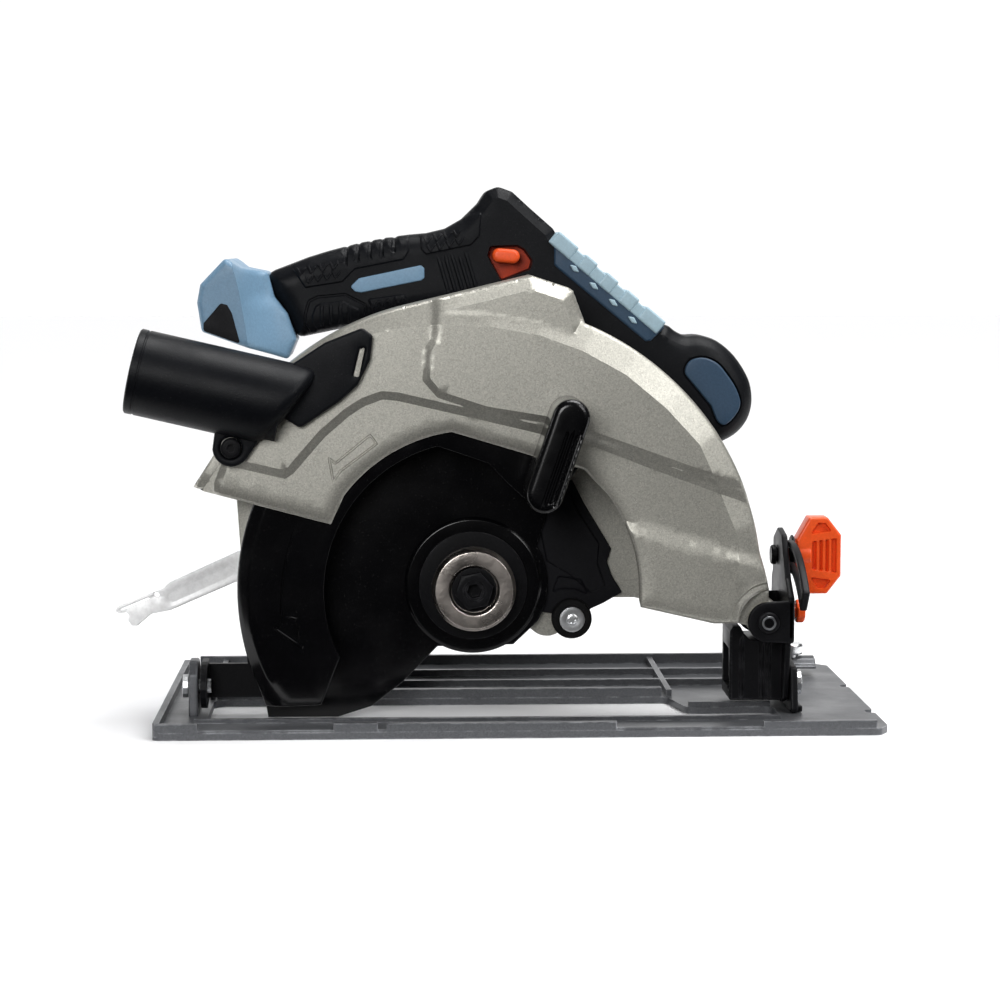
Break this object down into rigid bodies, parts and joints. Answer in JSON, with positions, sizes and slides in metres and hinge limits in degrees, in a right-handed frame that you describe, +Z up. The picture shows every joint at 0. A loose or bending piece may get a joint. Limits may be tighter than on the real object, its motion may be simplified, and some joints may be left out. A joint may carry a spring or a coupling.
{
  "type": "circular saw",
  "caption": "Handheld cordless circular saw: tilting shoe, upper and spring lower blade guard, D-handle, brushless motor, dust tube; no blade, no battery.",
  "frame": {"origin": "centre of the shoe's rectangular footprint, on the sole plane", "axes": "+X towards the front of the saw, +Y towards the motor side, +Z up from the sole"},
  "size_m": [0.321, 0.177, 0.2236],
  "materials": {
    "guard_paint": "silver metallic paint, satin",
    "shoe_paint": "gunmetal paint on cast aluminium, satin",
    "black_plastic": "textured black plastic",
    "gloss_black": "glossy black enamel",
    "matte_black": "matte black",
    "black_steel": "black coated steel",
    "steel_blue": "blue plastic, satin",
    "deep_blue": "dark blue rubbery plastic",
    "ice_blue": "pale blue rubbery plastic",
    "orange": "orange plastic, satin",
    "nickel": "nickel plated",
    "zinc": "bright zinc plated",
    "steel": "machined",
    "rubber": "black rubber",
    "copper": "enamelled windings"
  },
  "bodies": {
    "shoe": {"shoe": "shoe_paint", "bevel_quadrant": "black_steel", "front_bevel_pin": "zinc", "rear_bevel_pin": "zinc", "fence_screw": "zinc"},
    "tilt_bracket": {"front_bracket": "black_steel", "depth_arc": "black_steel", "depth_pivot_pin": "black_steel", "bevel_stud": "zinc", "bevel_washer": "black_steel"},
    "bevel_knob": {"bevel_knob": "orange"},
    "bevel_stop": {"bevel_stop": "orange"},
    "saw_body": {"upper_guard": "guard_paint", "gear_housing": "guard_paint", "bearing_cover": "matte_black", "bumper_ring": "rubber", "bumper_screw": "zinc", "guard_retaining_ring": "steel", "motor_housing": "black_plastic", "motor_cap": "black_plastic", "stator": "copper", "rotor_bearing_front": "steel", "rotor_bearing_rear": "steel", "spindle_bearing_front": "steel", "spindle_bearing_rear": "steel", "handle_near": "black_plastic", "handle_far": "black_plastic", "battery_foot": "steel_blue", "foot_insert_near": "matte_black", "foot_insert_far": "matte_black", "terminal_block": "black_plastic", "front_grip_pad": "ice_blue", "knob_panel_near": "deep_blue", "knob_panel_far": "deep_blue", "grip_badge": "deep_blue", "switch_module": "black_plastic", "controller": "matte_black", "handle_screw_1": "zinc", "handle_screw_2": "zinc", "handle_screw_3": "zinc", "handle_screw_4": "zinc", "dust_port": "black_plastic", "dust_port_screw": "black_steel", "depth_clamp_bolt": "zinc"},
    "arbor": {"spindle": "steel", "output_gear": "steel", "inner_flange": "nickel", "outer_flange": "nickel", "blade_bolt": "black_steel"},
    "rotor": {"rotor_shaft": "steel", "rotor_core": "steel", "fan": "black_plastic"},
    "lower_guard": {"lower_guard": "gloss_black", "guard_lever": "gloss_black", "guard_spring": "steel"},
    "trigger": {"trigger": "black_plastic"},
    "lock_off": {"lock_off": "orange"},
    "spindle_lock": {"spindle_lock": "black_plastic"},
    "depth_lever": {"depth_lock_lever": "zinc"}
  },
  "joints": [
    {"name": "bevel_tilt", "type": "hinge", "parent": "shoe", "child": "tilt_bracket", "pos_m": [0, -0.035, 0.014], "axis": [1, 0, 0], "range_deg": [0, 50]},
    {"name": "depth_swing", "type": "hinge", "parent": "tilt_bracket", "child": "saw_body", "pos_m": [0.103, 0, 0.043], "axis": [0, 1, 0], "range_deg": [-6.5, 16]},
    {"name": "lower_guard_swing", "type": "hinge", "parent": "saw_body", "child": "lower_guard", "pos_m": [-0.019, 0, 0.0565], "axis": [0, 1, 0], "range_deg": [-93, 42], "stiffness_Nm_per_rad": 0.12, "springref_deg": -108.86, "deforming": ["guard_spring"]},
    {"name": "arbor_spin", "type": "hinge", "parent": "saw_body", "child": "arbor", "pos_m": [-0.019, 0, 0.0565], "axis": [0, 1, 0], "continuous": true},
    {"name": "rotor_spin", "type": "hinge", "parent": "saw_body", "child": "rotor", "pos_m": [-0.007, 0, 0.0807], "axis": [0, 1, 0], "continuous": true},
    {"name": "trigger_pull", "type": "slide", "parent": "saw_body", "child": "trigger", "axis": [0, 0, 1], "range_m": [0, 0.005], "stiffness_N_per_m": 900, "springref_m": -0.003},
    {"name": "lock_off_push", "type": "slide", "parent": "saw_body", "child": "lock_off", "axis": [0, 1, 0], "range_m": [-0.0025, 0.0025], "stiffness_N_per_m": 600},
    {"name": "spindle_lock_press", "type": "slide", "parent": "saw_body", "child": "spindle_lock", "axis": [0, -1, 0], "range_m": [0, 0.0022], "stiffness_N_per_m": 800, "springref_m": -0.001},
    {"name": "depth_lever_swing", "type": "hinge", "parent": "saw_body", "child": "depth_lever", "pos_m": [-0.106, 0, 0.058], "axis": [0, 1, 0], "range_deg": [0, 40]},
    {"name": "bevel_knob_turn", "type": "hinge", "parent": "tilt_bracket", "child": "bevel_knob", "pos_m": [0.12, -0.022, 0.067], "axis": [1, 0, 0], "range_deg": [0, 180]},
    {"name": "bevel_stop_turn", "type": "hinge", "parent": "tilt_bracket", "child": "bevel_stop", "pos_m": [0.118, -0.0365, 0.0446], "axis": [1, 0, 0], "range_deg": [0, 90]}
  ],
  "couplings": [
    {"joint": "rotor_spin", "follows": "arbor_spin", "ratio": -3.9091}
  ]
}
